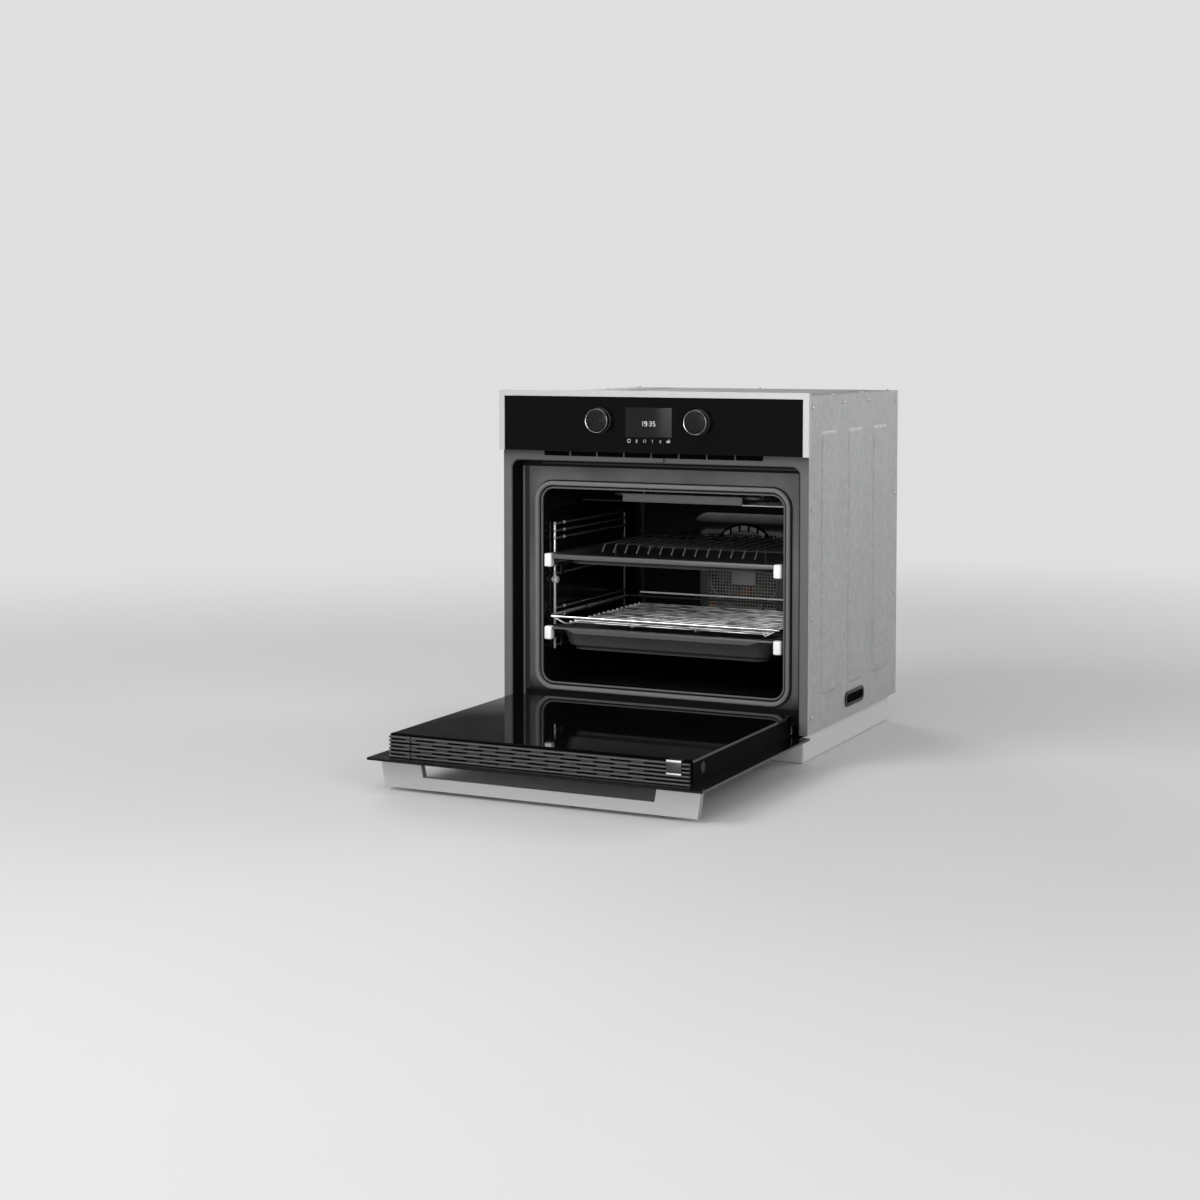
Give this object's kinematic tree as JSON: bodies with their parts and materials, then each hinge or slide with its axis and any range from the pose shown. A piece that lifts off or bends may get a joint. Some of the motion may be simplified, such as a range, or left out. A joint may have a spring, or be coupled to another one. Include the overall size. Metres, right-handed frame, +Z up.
{
  "type": "wall oven",
  "caption": "Built-in electric wall oven with a drop-down glass door standing open, knobs and clock on the panel, and pull-out trays and a wire shelf in the cavity.",
  "frame": {"origin": "middle of the underside of the base pan, where the oven rests on the floor of its niche", "axes": "+X to the right as seen from the front, -Y out of the front towards the user, +Z up"},
  "size_m": [0.595, 1.0238, 0.6405],
  "materials": {
    "galvanised": "zinc-coated sheet",
    "frame_grey": "satin grey",
    "black_enamel": "glossy enamel",
    "seal": "matt woven seal",
    "wool": "pressed mineral wool",
    "element_steel": "heat-darkened tube",
    "socket_ceramic": "plain",
    "clear_glass": "clear",
    "black_glass": "black printed, polished",
    "chromed_wire": "bright",
    "rail_steel": "bright",
    "black_plastic": "satin",
    "board": "plain",
    "handle_aluminium": "brushed"
  },
  "bodies": {
    "oven_body": {"base_pan": "galvanised", "side_panel_left": "galvanised", "side_panel_right": "galvanised", "back_panel": "galvanised", "top_cover": "galvanised", "front_frame": "frame_grey", "oven_muffle": "black_enamel", "door_gasket": "seal", "insulation_blanket": "wool", "fan_baffle": "black_enamel", "grill_element": "element_steel", "ring_element": "element_steel", "bottom_element": "element_steel", "grill_shield": "black_enamel", "lamp_lens": "clear_glass", "lamp_socket": "socket_ceramic", "side_rack_left": "chromed_wire", "side_rack_right": "chromed_wire", "runner_rail_upper_left": "rail_steel", "runner_rail_upper_right": "rail_steel", "runner_rail_lower_left": "rail_steel", "runner_rail_lower_right": "rail_steel", "air_duct": "galvanised", "control_housing": "galvanised", "control_board": "board", "panel_glass": "black_glass", "trim_strip": "rail_steel", "display_module": "black_plastic", "terminal_block": "black_plastic", "blower_housing": "galvanised", "blower_motor": "galvanised", "fan_motor": "galvanised", "hinge_arm_left": "galvanised", "hinge_arm_right": "galvanised", "door_switch": "frame_grey"},
    "door": {"door_outer_glass": "black_glass", "door_middle_glass": "clear_glass", "door_inner_glass": "black_glass", "door_column_left": "black_plastic", "door_column_right": "black_plastic", "door_vent_profile": "black_plastic", "door_bottom_profile": "black_plastic", "door_handle": "handle_aluminium", "hinge_housing_left": "galvanised", "hinge_housing_right": "galvanised", "door_clip": "rail_steel", "hinge_spring_left": "galvanised", "hinge_spring_right": "galvanised"},
    "left_knob": {"knob_left": "black_plastic"},
    "right_knob": {"knob_right": "black_plastic"},
    "convection_fan": {"fan_impeller": "galvanised"},
    "cooling_rotor": {"blower_rotor": "black_plastic"},
    "upper_carriage": {"slide_upper_left": "chromed_wire", "slide_upper_right": "chromed_wire", "shallow_tray": "black_enamel", "roasting_grid": "chromed_wire"},
    "lower_carriage": {"slide_lower_left": "chromed_wire", "slide_lower_right": "chromed_wire", "deep_tray": "black_enamel"},
    "shelf": {"wire_shelf": "chromed_wire"}
  },
  "joints": [
    {"name": "door_hinge", "type": "hinge", "parent": "oven_body", "child": "door", "pos_m": [0, -0.2866, 0.0135], "axis": [-1, 0, 0], "range_deg": [0, 90]},
    {"name": "knob_left_turn", "type": "hinge", "parent": "oven_body", "child": "left_knob", "pos_m": [-0.0946, -0.3126, 0.542], "axis": [0, -1, 0], "continuous": true},
    {"name": "knob_right_turn", "type": "hinge", "parent": "oven_body", "child": "right_knob", "pos_m": [0.0946, -0.3126, 0.542], "axis": [0, -1, 0], "continuous": true},
    {"name": "fan_spin", "type": "hinge", "parent": "oven_body", "child": "convection_fan", "pos_m": [0, 0.1554, 0.236], "axis": [0, 1, 0], "continuous": true},
    {"name": "blower_spin", "type": "hinge", "parent": "oven_body", "child": "cooling_rotor", "pos_m": [0, 0.1124, 0.47], "axis": [0, 0, 1], "continuous": true},
    {"name": "upper_slide", "type": "slide", "parent": "oven_body", "child": "upper_carriage", "axis": [0, 1, 0], "range_m": [-0.24, 0]},
    {"name": "lower_slide", "type": "slide", "parent": "oven_body", "child": "lower_carriage", "axis": [0, 1, 0], "range_m": [-0.24, 0]},
    {"name": "shelf_slide", "type": "slide", "parent": "oven_body", "child": "shelf", "axis": [0, 1, 0], "range_m": [-0.24, 0]}
  ]
}
